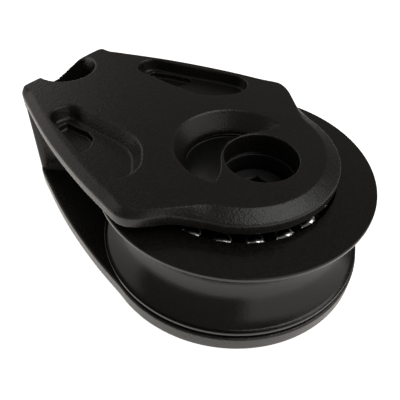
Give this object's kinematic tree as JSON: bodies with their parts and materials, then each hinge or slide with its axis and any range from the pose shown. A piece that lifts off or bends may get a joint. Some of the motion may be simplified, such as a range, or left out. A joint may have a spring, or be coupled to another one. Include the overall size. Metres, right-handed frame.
{
  "type": "single sheave block",
  "caption": "Dark anodised sailing block: forked body with lightening pockets, strop hole and head eye, with a rope sheave turning on ball bearings.",
  "frame": {"origin": "bottom centre of the bounding box, on the outer face of the lower cheek", "axes": "+X from the head towards the sheave end, +Z along the sheave axis from the lower cheek to the upper cheek, +Y to the left of +X"},
  "size_m": [0.0614, 0.0406, 0.0201],
  "materials": {
    "body_anodised": "fine bead-blasted, hard anodised near-black",
    "sheave_anodised": "smooth satin, hard anodised near-black",
    "hub_anodised": "machined, hard anodised near-black",
    "ball_steel": "polished stainless balls",
    "cage_plastic": "black acetal",
    "bolt_steel": "blackened steel"
  },
  "bodies": {
    "frame": {"block_body": "body_anodised", "bearing_hub": "hub_anodised", "hub_bolt": "bolt_steel", "hub_nut": "bolt_steel"},
    "sheave": {"sheave": "sheave_anodised"},
    "ball_train": {"ball_cage_upper": "cage_plastic", "ball_cage_lower": "cage_plastic", "ball_upper_01": "ball_steel", "ball_upper_02": "ball_steel", "ball_upper_03": "ball_steel", "ball_upper_04": "ball_steel", "ball_upper_05": "ball_steel", "ball_upper_06": "ball_steel", "ball_upper_07": "ball_steel", "ball_upper_08": "ball_steel", "ball_upper_09": "ball_steel", "ball_upper_10": "ball_steel", "ball_upper_11": "ball_steel", "ball_upper_12": "ball_steel", "ball_upper_13": "ball_steel", "ball_upper_14": "ball_steel", "ball_upper_15": "ball_steel", "ball_upper_16": "ball_steel", "ball_upper_17": "ball_steel", "ball_upper_18": "ball_steel", "ball_upper_19": "ball_steel", "ball_upper_20": "ball_steel", "ball_lower_01": "ball_steel", "ball_lower_02": "ball_steel", "ball_lower_03": "ball_steel", "ball_lower_04": "ball_steel", "ball_lower_05": "ball_steel", "ball_lower_06": "ball_steel", "ball_lower_07": "ball_steel", "ball_lower_08": "ball_steel", "ball_lower_09": "ball_steel", "ball_lower_10": "ball_steel", "ball_lower_11": "ball_steel", "ball_lower_12": "ball_steel", "ball_lower_13": "ball_steel", "ball_lower_14": "ball_steel", "ball_lower_15": "ball_steel", "ball_lower_16": "ball_steel", "ball_lower_17": "ball_steel", "ball_lower_18": "ball_steel", "ball_lower_19": "ball_steel", "ball_lower_20": "ball_steel"}
  },
  "joints": [
    {"name": "sheave_spin", "type": "hinge", "parent": "frame", "child": "sheave", "pos_m": [0.01046, 0, 0.01005], "axis": [0, 0, 1], "continuous": true},
    {"name": "ball_train_spin", "type": "hinge", "parent": "frame", "child": "ball_train", "pos_m": [0.01046, 0, 0.01005], "axis": [0, 0, 1], "continuous": true}
  ],
  "couplings": [
    {"joint": "ball_train_spin", "follows": "sheave_spin", "ratio": 0.557}
  ]
}
